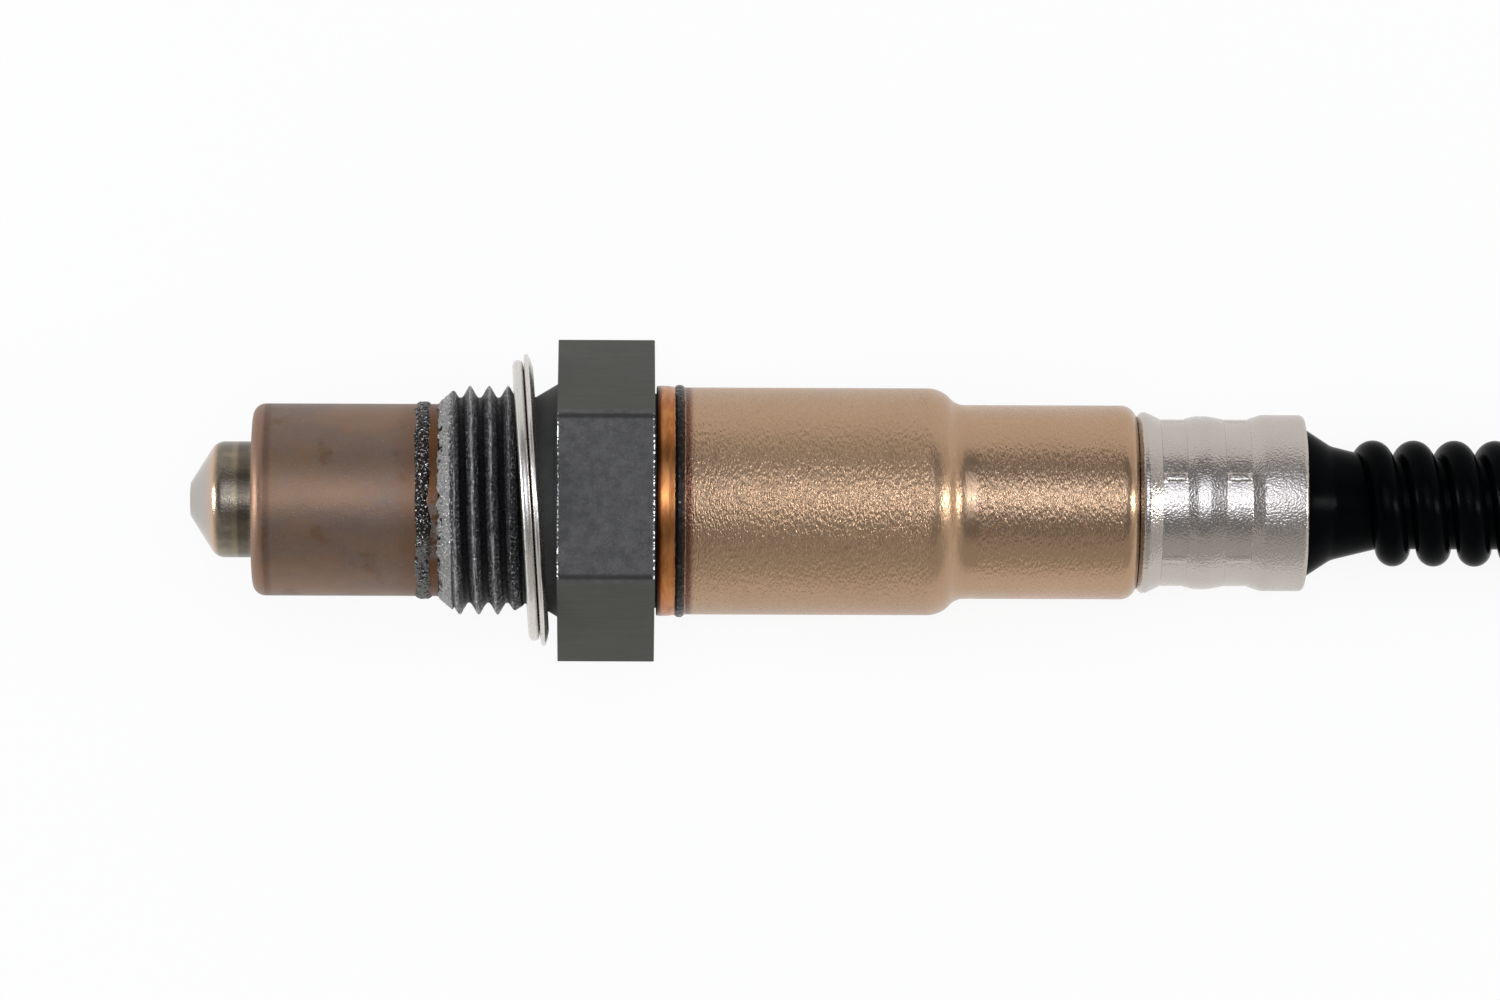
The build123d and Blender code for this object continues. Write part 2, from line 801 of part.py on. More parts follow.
# ---- grommet and leads -----------------------------------------------------------
def make_grommet():
    """Rubber seal with a hole for each lead and a boss that fills the sleeve's neck."""
    boss = sleeve_neck_diameter / 2 - sleeve_wall - grommet_clearance
    plug_length = grommet_length + grommet_boss_length
    plug = turned(
        [
            (grommet_front, 0),
            (grommet_front, grommet_radius),
            (grommet_rear - grommet_chamfer, grommet_radius),
            (grommet_rear, grommet_radius - grommet_chamfer),
            (grommet_rear, boss),
            (grommet_rear + grommet_boss_length, boss),
            (grommet_rear + grommet_boss_length, 0),
        ]
    )
    for angle in upper_angles + lower_angles:
        lead_y, lead_z = lead_place(angle)
        passage = Cylinder(lead_radius + grommet_hole_clearance, 2 * plug_length)
        plug -= Pos(grommet_rear, lead_y, lead_z) * Rot(0, 90, 0) * passage
    return plug


def make_lead(angle):
    """Insulated lead from its bare end in the barrel to just inside the boot's mouth."""
    gather = grommet_rear + grommet_boss_length + lead_gather_start
    wide = lead_circle / 2
    close = lead_bundle_circle / 2
    insulation_front = lead_front + conductor_bare
    route = FilletPolyline(
        (insulation_front, wide),
        (gather, wide),
        (gather + lead_gather_length, close),
        (boot_rear - lead_mouth_gap, close),
        radius=lead_bend_radius,
    )
    circle = Plane(origin=(insulation_front, wide, 0), z_dir=(1, 0, 0)) * Circle(lead_radius)
    lead = sweep(circle, path=route)
    bare = Pos(lead_front + conductor_bare / 2, wide, 0) * Rot(0, 90, 0) * Cylinder(
        conductor_radius, conductor_bare
    )
    return Rot(angle, 0, 0) * (lead + bare)


# ---- all pieces ---------------------------------------------------------------------
def make_pieces():
    pieces = {
        "outer_shield": make_outer_shield(),
        "inner_shield": make_inner_shield(),
        "shield_weld": make_shield_weld(),
        "threaded_shell": make_threaded_shell(),
        "crush_gasket": make_crush_gasket(),
        "sleeve_weld": make_sleeve_weld(),
        "body_sleeve": make_body_sleeve(),
        "crimp_sleeve": make_crimp_sleeve(),
        "cable_boot": make_cable_boot(),
        "sensing_element": make_sensing_element(),
        "seat_washer": make_seat_washer(),
        "front_insulator": make_front_insulator(),
        "talc_seal": make_talc_seal(),
        "rear_insulator": make_rear_insulator(),
        "press_ring": make_press_ring(),
        "contact_holder_upper": make_contact_holder(upper_pads, 1),
        "contact_holder_lower": make_contact_holder(lower_pads, -1),
        "holder_clamp": make_holder_clamp(),
        "tolerance_ring": make_tolerance_ring(),
        "grommet": make_grommet(),
    }
    contacts = [(pad, 1, angle) for pad, angle in zip(upper_pads, upper_angles)]
    contacts += [(pad, -1, angle) for pad, angle in zip(lower_pads, lower_angles)]
    for number, (pad, side, angle) in enumerate(contacts, start=1):
        pieces[f"contact_{number}"] = make_contact(pad, side, angle)
        pieces[f"lead_{number}"] = make_lead(angle)
    return pieces


os.makedirs("parts", exist_ok=True)
for name, piece in make_pieces().items():
    export_step(piece, f"parts/{name}.step")
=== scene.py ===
# %% [markdown]
# An exhaust oxygen sensor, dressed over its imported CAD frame. The sensor's axis is X, its tip points
# to -X, and one flat of its spanner hexagon faces up. Everything is in metres, in the CAD frame, so a
# new piece goes exactly where the CAD node that it stands for is. The outside pieces are turned, drawn
# or pressed metal with one moulded rubber boot, and the inside ones keep their CAD shapes.

# %% Load the frame
import bpy
import bmesh
import math
from mathutils import Euler, Matrix, Vector


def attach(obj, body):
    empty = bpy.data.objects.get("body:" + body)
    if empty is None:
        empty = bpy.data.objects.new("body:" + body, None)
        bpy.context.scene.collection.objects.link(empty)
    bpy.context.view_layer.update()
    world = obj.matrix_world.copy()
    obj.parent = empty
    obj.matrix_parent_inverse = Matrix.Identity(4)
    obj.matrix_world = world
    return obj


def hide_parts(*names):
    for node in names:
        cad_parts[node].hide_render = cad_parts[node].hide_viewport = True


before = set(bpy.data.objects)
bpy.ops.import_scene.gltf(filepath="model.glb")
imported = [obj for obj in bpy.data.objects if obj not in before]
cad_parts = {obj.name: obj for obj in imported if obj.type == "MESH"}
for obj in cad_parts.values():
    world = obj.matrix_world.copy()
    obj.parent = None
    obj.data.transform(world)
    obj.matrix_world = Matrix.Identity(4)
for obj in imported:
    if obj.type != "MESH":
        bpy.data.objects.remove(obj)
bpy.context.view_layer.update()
MM = 0.001
print("nodes in the frame:", len(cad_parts))

# %% [markdown]
# Every turned piece starts as one line through its corners, drawn in the XY plane: x is the place along
# the axis and y the radius. A plane primitive merged to a point gives the first vertex, and extruding it
# draws the line. Rounded corners are vertex bevels, because a bevel keeps the two runs straight. A corner
# that turns by some angle needs the round's radius times the tangent of half that angle as its offset.

# %% Draw and round a line
def deselect():
    bpy.ops.object.select_all(action="DESELECT")


def draw_line(name, corners):
    """A new object with one line through the corners, left in edit mode."""
    deselect()
    bpy.ops.mesh.primitive_plane_add(size=MM)
    piece = bpy.context.object
    piece.name = name
    bpy.ops.object.mode_set(mode="EDIT")
    bpy.ops.mesh.merge(type="CENTER")
    bpy.ops.transform.translate(value=(corners[0][0] * MM, corners[0][1] * MM, 0))
    for here, there in zip(corners, corners[1:]):
        step = ((there[0] - here[0]) * MM, (there[1] - here[1]) * MM, 0)
        bpy.ops.mesh.extrude_vertices_move(TRANSFORM_OT_translate={"value": step})
    return piece


def pick_vertices(piece, wanted):
    """Select the vertices whose place, in millimetres, passes the test."""
    bpy.ops.mesh.select_mode(type="VERT")
    bpy.ops.mesh.select_all(action="DESELECT")
    mesh = bmesh.from_edit_mesh(piece.data)
    for vertex in mesh.verts:
        vertex.select = wanted(vertex.co / MM)
    mesh.select_flush(True)
    bmesh.update_edit_mesh(piece.data)


def round_corners(piece, corners, segments=7):
    """Bevel each corner that has a third number, its radius."""
    for before, corner, after in zip(corners, corners[1:], corners[2:]):
        if len(corner) < 3:
            continue
        first = Vector((corner[0] - before[0], corner[1] - before[1]))
        second = Vector((after[0] - corner[0], after[1] - corner[1]))
        offset = corner[2] * math.tan(abs(first.angle_signed(second)) / 2)
        place = Vector((corner[0], corner[1], 0))
        pick_vertices(piece, lambda spot: (spot - place).length < 1e-3)
        bpy.ops.mesh.bevel(
            offset=offset * MM, segments=segments, profile=0.5, affect="VERTICES", clamp_overlap=False
        )


# %% [markdown]
# Spin sweeps the line round the axis. Its last step lands on the first, so doubles are merged, with a
# threshold well under a hundredth of a millimetre because the part is small. The open sheet then gets
# its wall from Solidify, measured inwards, as a drawn tube keeps its outside size. Normals are
# recalculated before the wall, because on a closed shell that would turn the inner wall round.

# %% Turn and finish a piece
TURN_STEPS = 240


def spin_line(steps=TURN_STEPS):
    bpy.ops.mesh.select_all(action="SELECT")
    bpy.ops.mesh.spin(steps=steps, angle=2 * math.pi, center=(0, 0, 0), axis=(1, 0, 0))
    bpy.ops.mesh.select_all(action="SELECT")
    bpy.ops.mesh.remove_doubles(threshold=1e-6)
    bpy.ops.mesh.normals_make_consistent(inside=False)
    bpy.ops.object.mode_set(mode="OBJECT")


def apply_modifier(piece, kind, **settings):
    """Add one modifier, set it and apply it at once."""
    bpy.context.view_layer.objects.active = piece
    modifier = piece.modifiers.new("step", kind)
    for key, value in settings.items():
        setattr(modifier, key, value)
    bpy.ops.object.modifier_apply(modifier=modifier.name)


def turn_tube(name, corners, wall=0, closed=False, segments=7, steps=TURN_STEPS):
    """A turned piece: a sheet with a wall, or a closed section spun into a ring."""
    piece = draw_line(name, corners)
    round_corners(piece, corners, segments)
    if closed:
        bpy.ops.mesh.select_all(action="SELECT")
        bpy.ops.mesh.remove_doubles(threshold=1e-6)
    spin_line(steps)
    if wall:
        apply_modifier(piece, "SOLIDIFY", thickness=wall * MM, offset=-1, use_even_offset=True)
    return piece


def settle(piece, *nodes, slot, angle=30):
    """Shade a finished piece, ride it on the body and let it stand for its CAD nodes."""
    deselect()
    piece.select_set(True)
    bpy.context.view_layer.objects.active = piece
    bpy.ops.object.shade_smooth_by_angle(angle=math.radians(angle))
    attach(piece, "root")
    if nodes:
        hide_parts(*nodes)
    low = [min(vertex.co[axis] for vertex in piece.data.vertices) / MM for axis in range(3)]
    high = [max(vertex.co[axis] for vertex in piece.data.vertices) / MM for axis in range(3)]
    size = " ".join(f"{a:.2f}..{b:.2f}" for a, b in zip(low, high))
    print(f"{piece.name}: {len(piece.data.polygons)} faces, {size} mm")
    return piece


def join(main, *others):
    """Join finished shells into one object."""
    deselect()
    for other in others:
        other.select_set(True)
    main.select_set(True)
    bpy.context.view_layer.objects.active = main
    bpy.ops.object.join()
    return main


# %% [markdown]
# The sensor lies on its side. The hexagon's lower rear edge and the crimp sleeve's lower rear edge touch
# the ground first, so the floor is a plane through those two lines, a few degrees off level in this
# frame. The floor is pale and takes the sensor's soft shadow. Most of what the camera sees of it is one
# even white, so that it stays white without more lamp light on the sensor. Metal mirrors that same
# white, and the rest is the paper's own shade.

# %% Floor
rest_front = Vector((7.6, 0, -11.0))
rest_rear = Vector((58.4, 0, -6.98))
slope = math.atan2(rest_rear.z - rest_front.z, rest_rear.x - rest_front.x)
deselect()
bpy.ops.mesh.primitive_grid_add(x_subdivisions=8, y_subdivisions=8, size=4)
floor = bpy.context.object
floor.name = "floor"
floor.data.name = "floor"
floor.rotation_euler = (0, -slope, 0)
drop = Vector((math.sin(slope), 0, -math.cos(slope))) * 0.02
floor.location = (rest_front + drop) * MM
print("floor slope in degrees:", round(math.degrees(slope), 2))

# %% [markdown]
# The view is from straight above with a long lens, about 0.66 m away, so the sensor is almost without
# perspective. The camera stands a little to the tip's side and a little below the axis, which shows a
# sliver of the faces that look that way, and it is rolled by a fifth of a degree.

# %% Camera
TARGET = Vector((15.14, 0.09, 0.0))
VIEW_FROM = Vector((4.6, -19.97, 660.0))
VIEW_WIDTH = 118.3
ROLL = 0.18
camera_data = bpy.data.cameras.new("camera")
camera = bpy.data.objects.new("camera", camera_data)
bpy.context.scene.collection.objects.link(camera)
bpy.context.scene.camera = camera
camera.location = VIEW_FROM * MM
back = (VIEW_FROM - TARGET).normalized()
right = Vector((0, 1, 0)).cross(back).normalized()
up = back.cross(right)
turn = math.radians(ROLL)
right, up = right * math.cos(turn) + up * math.sin(turn), up * math.cos(turn) - right * math.sin(turn)
camera.rotation_euler = Matrix((right, up, back)).transposed().to_euler()
camera_data.sensor_width = 36
camera_data.lens = 36 * (VIEW_FROM - TARGET).length / VIEW_WIDTH
camera_data.clip_start = 0.05
camera_data.clip_end = 20
bpy.context.scene.view_settings.view_transform = "Standard"
print("lens in millimetres:", round(camera_data.lens, 1))

# %% [markdown]
# Finishes are written as expressions. Sock wraps a node's socket, and + - * / on it add Math nodes, also
# when the number stands first. Finish holds one material's node tree, and its node method makes any other
# node: its type, the settings that shape it, then the values or links of its sockets. The last line of
# each finish joins the results to the shader.

# %% Expression sockets
class Sock:
    """A node's output that can be used in an expression."""

    def __init__(self, finish, socket):
        self.finish = finish
        self.socket = socket

    def math(self, operation, *values):
        inputs = dict(enumerate(values))
        return self.finish.node("ShaderNodeMath", {"operation": operation}, inputs)

    def __add__(self, other):
        return self.math("ADD", self, other)

    def __radd__(self, other):
        return self.math("ADD", other, self)

    def __sub__(self, other):
        return self.math("SUBTRACT", self, other)

    def __rsub__(self, other):
        return self.math("SUBTRACT", other, self)

    def __mul__(self, other):
        return self.math("MULTIPLY", self, other)

    def __rmul__(self, other):
        return self.math("MULTIPLY", other, self)

    def __truediv__(self, other):
        return self.math("DIVIDE", self, other)

    def __rtruediv__(self, other):
        return self.math("DIVIDE", other, self)

    def __pow__(self, other):
        return self.math("POWER", self, other)

    def least(self, other):
        return self.math("MINIMUM", self, other)

    def size(self):
        return self.math("ABSOLUTE", self)


class Finish:
    """A node tree with one shader, written as expressions."""

    def __init__(self, name, tree=None):
        self.name = name
        if tree is None:
            self.material = bpy.data.materials.new(name)
            self.material.use_nodes = True
            tree = self.material.node_tree
        self.tree = tree
        tree.nodes.clear()

    def node(self, kind, settings=None, inputs=None, output=0):
        made = self.tree.nodes.new(kind)
        for key, value in (settings or {}).items():
            if key == "stops":
                ramp = made.color_ramp.elements
                while len(ramp) < len(value):
                    ramp.new(0.5)
                for stop, (place, colour) in zip(ramp, value):
                    stop.position = place
                    stop.color = colour
            else:
                setattr(made, key, value)
        for key, value in (inputs or {}).items():
            if isinstance(value, Sock):
                self.tree.links.new(value.socket, made.inputs[key])
            elif value is not None:
                made.inputs[key].default_value = value
        return Sock(self, made.outputs[output])

    def place(self, scale=(1, 1, 1), shift=(0, 0, 0)):
        """Object coordinates in millimetres, stretched or moved."""
        where = self.node("ShaderNodeTexCoord", output=3)
        sizes = tuple(1000 * value for value in scale)
        return self.node("ShaderNodeMapping", {}, {0: where, 1: shift, 3: sizes})

    def axes(self):
        """Place along the axis, and Y and Z, in millimetres."""
        split = self.node("ShaderNodeSeparateXYZ", {}, {0: self.place()})
        outputs = split.socket.node.outputs
        return [Sock(self, outputs[number]) for number in range(3)]

    def noise(self, grain, detail=2.0, roughness=0.5, scale=(1, 1, 1), shift=(0, 0, 0)):
        """Noise from 0 to 1 with lumps of about the grain's size in millimetres."""
        inputs = {"Vector": self.place(scale, shift), "Scale": 1 / grain, "Detail": detail, "Roughness": roughness}
        return self.node("ShaderNodeTexNoise", {}, inputs)

    def cells(self, grain, scale=(1, 1, 1), feature="F1"):
        inputs = {"Vector": self.place(scale), "Scale": 1 / grain}
        return self.node("ShaderNodeTexVoronoi", {"feature": feature}, inputs)

    def step(self, value, low, high):
        """0 below low, 1 above high, smooth between."""
        inputs = {0: value, 1: low, 2: high}
        return self.node("ShaderNodeMapRange", {"interpolation_type": "SMOOTHSTEP"}, inputs)

    def mix(self, share, first, second):
        """Colour between two, by share."""
        return self.node("ShaderNodeMix", {"data_type": "RGBA"}, {0: share, 6: first, 7: second}, 2)

    def bump(self, height, reach, strength=1.0, under=None):
        """Relief of a height from 0 to 1 that stands reach millimetres tall."""
        inputs = {"Height": height, "Distance": reach * MM, "Strength": strength, "Normal": under}
        return self.node("ShaderNodeBump", {}, inputs)

    def shader(self, coat=0.0, coat_roughness=0.1, specular=0.5, **inputs):
        fixed = {"Coat Weight": coat, "Coat Roughness": coat_roughness, "Specular IOR Level": specular}
        named = {key.replace("_", " ").title(): value for key, value in inputs.items()}
        surface = self.node("ShaderNodeBsdfPrincipled", {}, {**fixed, **named})
        self.node_output(surface)
        return self.material

    def node_output(self, surface, kind="ShaderNodeOutputMaterial"):
        made = self.tree.nodes.new(kind)
        self.tree.links.new(surface.socket, made.inputs[0])


def dress(piece, material):
    piece.data.materials.clear()
    piece.data.materials.append(material)


def rgb(red, green, blue):
    """A colour as it is seen on a screen, 0 to 255, made linear."""
    shown = (red, green, blue)
    return tuple(((value / 255 + 0.055) / 1.055) ** 2.4 if value > 10 else value / 3295 for value in shown) + (1,)


# %% [markdown]
# Light comes from a tent: it is bright low down all round, dark in a ring round the camera, and has a
# soft lamp overhead. On a lying cylinder that gives the look of metal in a studio tent: pale satin
# bands along both sides, a darker band inside them and a highlight along the middle. The tent is
# the world's colour by direction, a little dimmer on one side, as it is when the main light stands on
# the other. The eye, the metal and the dull surfaces all see this same tent. A long overhead lamp and
# two end lamps add the sharp lights.

# %% World
world = bpy.data.worlds.new("tent")
bpy.context.scene.world = world
world.use_nodes = True
tent = Finish("tent", world.node_tree)
heading = tent.node("ShaderNodeTexCoord")
split = tent.node("ShaderNodeSeparateXYZ", {}, {0: heading}).socket.node.outputs
along, across, height = [Sock(tent, split[number]) for number in range(3)]
height = height * 0.9925 + across * 0.122
low_down = 1 - tent.step(height, 0.54, 0.66)
side = tent.mix(tent.step(across, -0.3, 0.3), (0.54, 0.535, 0.52, 1), (0.92, 0.92, 0.92, 1))
side = tent.mix(tent.step(along.size(), 0.5, 0.9), side, (0.66, 0.65, 0.63, 1))
ring = tent.mix(low_down, (0.22, 0.225, 0.235, 1), side)
overhead = tent.step(height, 0.82, 1.0) * tent.step(height, 0.82, 1.0) * 1.85
lamp_glow = tent.node("ShaderNodeVectorMath", {"operation": "SCALE"}, {0: (0.92, 1.0, 1.16), 3: overhead})
lit = tent.node("ShaderNodeVectorMath", {"operation": "ADD"}, {0: ring, 1: lamp_glow})
sky = tent.node("ShaderNodeBackground", {}, {0: lit, 1: 1.0})
tent.node_output(sky, "ShaderNodeOutputWorld")

# %% Lamps
def add_lamp(name, place, size, power, aim=TARGET):
    """A soft rectangular lamp that faces the sensor; places and sizes in millimetres."""
    data = bpy.data.lights.new(name, "AREA")
    data.shape = "RECTANGLE"
    data.size = size[0] * MM
    data.size_y = size[1] * MM
    data.energy = power
    lamp = bpy.data.objects.new(name, data)
    bpy.context.scene.collection.objects.link(lamp)
    lamp.location = Vector(place) * MM
    direction = (Vector(place) - aim).normalized()
    lamp.rotation_euler = direction.to_track_quat("Z", "Y").to_euler()
    return lamp


add_lamp("overhead_lamp", (15, 40, 900), (150, 70), 0.5)
add_lamp("rear_lamp", (800, 0, 480), (160, 420), 2.6)
add_lamp("tip_lamp", (-800, 15, 190), (220, 260), 3.6)

# %% Floor finish
paper = Finish("pale_floor")
tone = paper.noise(60, 3)
matt = paper.node("ShaderNodeBsdfDiffuse", {}, {0: paper.mix(tone, rgb(240, 240, 240), rgb(247, 247, 247))})
path = paper.node("ShaderNodeLightPath").socket.node.outputs
by_camera = Sock(paper, path["Is Camera Ray"])
by_mirror = Sock(paper, path["Is Glossy Ray"])
through = Sock(paper, path["Is Transmission Ray"])
glow = paper.node("ShaderNodeEmission", {}, {0: (1, 1, 1, 1), 1: 1.0})
EVEN_WHITE = 0.9
share = (by_camera + by_mirror + through).least(1) * EVEN_WHITE
paper.node_output(paper.node("ShaderNodeMixShader", {}, {0: share, 1: matt, 2: glow}))
dress(floor, paper.material)

# %% [markdown]
# The inner shield is a tube drawn from thin sheet with a tapered tip and one small gas port in its end.
# Six more ports sit inside the outer shield. It could be cut from a cylinder, but a drawn cup has one
# even wall, so its outside line is spun and given a wall, and the ports are cut with Boolean cylinders.

# %% Inner shield
def cut_round_holes(piece, holes):
    """Cut cylinders out of a piece; each hole has its centre, radius, length and turn."""
    for centre, radius, length, rotation in holes:
        deselect()
        bpy.ops.mesh.primitive_cylinder_add(
            vertices=40, radius=radius * MM, depth=length * MM,
            location=Vector(centre) * MM, rotation=rotation
        )
        drill = bpy.context.object
        apply_modifier(piece, "BOOLEAN", operation="DIFFERENCE", object=drill, solver="EXACT")
        bpy.data.objects.remove(drill)


def ring_of(count):
    return [2 * math.pi / count * number for number in range(count)]


tip_corners = [(-28.95, 0.9), (-28.9, 1.35, 0.25), (-26.86, 4.57, 1.1), (-13.25, 4.57)]
inner_shield = turn_tube("tip_tube", tip_corners, wall=0.4, segments=9)
ports = []
for angle in ring_of(6):
    outwards = Vector((0, math.cos(angle + math.pi / 6), math.sin(angle + math.pi / 6)))
    centre = Vector((-18.99, 0, 0)) + outwards * 4.4
    ports.append((centre, 0.6, 2, outwards.to_track_quat("Z", "Y").to_euler()))
cut_round_holes(inner_shield, ports)
settle(inner_shield, "inner_shield", slot="tip_steel")

# %% [markdown]
# The outer shield is a cup over the inner one, open at the rear, with eight gas ports in its front face.
# Its front edge is a tight drawn round, which catches a copper-coloured light, and its finish adds a painted highlight
# there.

# %% Outer shield
shield_corners = [(-23.99, 4.57), (-23.99, 7.57, 1.0), (-9.33, 7.57)]
outer_shield = turn_tube("shield_cup", shield_corners, wall=0.5, segments=10)
ports = []
for angle in ring_of(8):
    centre = (-23.74, 5.82 * math.cos(angle), 5.82 * math.sin(angle))
    ports.append((centre, 0.65, 2, (0, math.pi / 2, 0)))
cut_round_holes(outer_shield, ports)
settle(outer_shield, "outer_shield", slot="heat_tinted_steel")

# %% [markdown]
# Two laser welds join the tubes to the shell. A weld bead is a low ring that froze in ripples, so each
# is a low section spun finely and then pushed in and out by a cloud texture. The front one is rough and
# black with soot, and the rear one smooth and narrow.

# %% Weld beads
def ripple(piece, height, grain, depth=2, seed=0, direction="NORMAL", group=""):
    """Push the surface in and out by clouds; height and grain in millimetres."""
    cloud = bpy.data.textures.new("cloud", "CLOUDS")
    cloud.noise_scale = grain * MM
    cloud.noise_depth = depth
    holder = bpy.data.objects.new("cloud_place", None)
    holder.location = (seed * MM, 0, 0)
    bpy.context.scene.collection.objects.link(holder)
    bpy.context.view_layer.update()
    apply_modifier(
        piece, "DISPLACE", texture=cloud, texture_coords="OBJECT", texture_coords_object=holder,
        strength=height * MM, mid_level=0.5, direction=direction, vertex_group=group
    )
    bpy.data.objects.remove(holder)


front_corners = [
    (-11.16, 7.5), (-11.1, 7.64, 0.1), (-10.9, 7.76, 0.3), (-10.26, 7.76, 0.3), (-10.06, 7.64, 0.1),
    (-10.0, 7.5), (-11.16, 7.5)
]
front_bead = draw_line("front_bead", front_corners)
round_corners(front_bead, front_corners, 3)
bpy.ops.mesh.select_all(action="SELECT")
bpy.ops.mesh.remove_doubles(threshold=1e-6)
bpy.ops.mesh.subdivide(number_cuts=2)
spin_line(400)
ripple(front_bead, 0.16, 0.45, 3)
ripple(front_bead, 0.5, 2.2, 1, seed=13, direction="X")
settle(front_bead, "shield_weld", slot="weld_bead", angle=60)

rear_corners = [
    (9.17, 8.86), (9.22, 9.03, 0.1), (9.42, 9.15, 0.2), (9.72, 9.15, 0.2), (9.92, 9.03, 0.1), (9.97, 8.86), (9.17, 8.86)
]
rear_bead = draw_line("rear_bead", rear_corners)
round_corners(rear_bead, rear_corners, 3)
bpy.ops.mesh.select_all(action="SELECT")
bpy.ops.mesh.remove_doubles(threshold=1e-6)
bpy.ops.mesh.subdivide(number_cuts=2)
spin_line(320)
ripple(rear_bead, 0.05, 0.8, 2, seed=40)
settle(rear_bead, "sleeve_weld", slot="weld_bead", angle=60)

# %% [markdown]
# The shell is one forging: nose, threaded barrel, relief neck, seat and spanner hexagon. Its turned body
# is spun as a closed section. The hexagon is a six-sided cylinder whose edges are bevelled only a little,
# as on bar that was sawn and turned.

# %% Shell body and hexagon
body_corners = [
    (-17.25, 2.8), (-17.25, 4.17), (-13.25, 4.17), (-13.25, 7.07), (-9.2, 7.07), (-9.2, 7.6), (-8.6, 7.95),
    (-3.0, 7.95), (-3.0, 8.15), (-1.75, 8.15), (0.05, 9.22), (7.55, 9.22), (7.55, 8.45), (10.8, 8.45),
    (10.8, 7.0), (11.2, 7.0), (11.9, 6.3), (11.9, 5.2), (10.9, 5.2), (10.9, 6.0), (-7.0, 6.0),
    (-8.0, 4.4), (-8.0, 2.8), (-17.25, 2.8)
]
shell = turn_tube("shell", body_corners, closed=True)

ACROSS_FLATS, HEXAGON_LENGTH = 22, 7.6
deselect()
bpy.ops.mesh.primitive_cylinder_add(
    vertices=6, radius=ACROSS_FLATS / math.sqrt(3) * MM, depth=HEXAGON_LENGTH * MM,
    location=(HEXAGON_LENGTH / 2 * MM, 0, 0), rotation=(0, math.pi / 2, 0)
)
hexagon = bpy.context.object
bpy.ops.object.transform_apply(location=True, rotation=True)
widest = max(abs(vertex.co.z) for vertex in hexagon.data.vertices)
if widest > 11.5 * MM:
    bpy.ops.object.mode_set(mode="EDIT")
    bpy.ops.mesh.select_all(action="SELECT")
    bpy.ops.transform.rotate(value=math.pi / 6, orient_axis="X", center_override=(0, 0, 0))
    bpy.ops.object.mode_set(mode="OBJECT")
apply_modifier(hexagon, "BEVEL", width=0.08 * MM, segments=3, limit_method="ANGLE", use_clamp_overlap=False)
print("hexagon half height:", round(max(vertex.co.z for vertex in hexagon.data.vertices) / MM, 3))

# %% [markdown]
# The thread is M18 x 1.5 and right-handed: seen from the tip's end of the axis, its crest goes from +Y
# to +Z while it moves to +X. One tooth's line is screwed round the axis, which keeps a clean row of
# vertices on every crest and root. Bisect cuts both ends flat and fills them. What stands outside the
# lead-in cone and the run-out is then pulled in to them, as a turning tool leaves it.

# %% Thread
PITCH = 1.5
CREST_PLACE = -3.96
tooth = [(0, 9.0), (0.06, 8.99), (0.15, 8.86), (0.47, 8.3), (0.56, 8.17), (0.65, 8.1), (0.75, 8.08)]
tooth += [(PITCH - x, radius) for x, radius in tooth[-2::-1]]
tooth = [(x + CREST_PLACE - 7 * PITCH, radius) for x, radius in tooth]
thread = draw_line("thread", tooth)
bpy.ops.mesh.select_all(action="SELECT")
bpy.ops.mesh.subdivide(number_cuts=1)
bpy.ops.object.mode_set(mode="OBJECT")
apply_modifier(
    thread, "SCREW", axis="X", angle=2 * math.pi, screw_offset=PITCH * MM, iterations=9,
    steps=240, render_steps=240
)
bpy.ops.object.mode_set(mode="EDIT")
bpy.ops.mesh.select_all(action="SELECT")
bpy.ops.mesh.remove_doubles(threshold=2e-6)
for place, side in ((-9.25, "clear_inner"), (-2.6, "clear_outer")):
    bpy.ops.mesh.select_all(action="SELECT")
    bpy.ops.mesh.bisect(
        plane_co=(place * MM, 0, 0), plane_no=(1, 0, 0), use_fill=True, threshold=1e-7, **{side: True}
    )
bpy.ops.mesh.select_all(action="SELECT")
bpy.ops.mesh.normals_make_consistent(inside=False)
bpy.ops.object.mode_set(mode="OBJECT")


def envelope(x):
    """The largest radius that the turned blank leaves at a place along the axis."""
    lead_in = 7.65 + (x + 9.25) * 1.35 / 1.3
    run_out = 9.0 - (x + 3.95) * 0.85 / 1.55
    return min(9.0, lead_in, run_out)


for vertex in thread.data.vertices:
    radius = math.hypot(vertex.co.y, vertex.co.z)
    limit = envelope(vertex.co.x / MM) * MM
    if radius > limit:
        vertex.co.y *= limit / radius
        vertex.co.z *= limit / radius
ripple(thread, 0.09, 0.4, 4, seed=80)
join(shell, hexagon, thread)
settle(shell, "threaded_shell", slot="shell_steel", angle=35)

# %% [markdown]
# Anti-seize paste was wiped round the thread's lead-in before packing. It is a thin, pale, lumpy collar
# with a ragged front edge. Its front row of vertices is put in a vertex group, so that a second Displace
# can push just that edge back and forth along the axis.

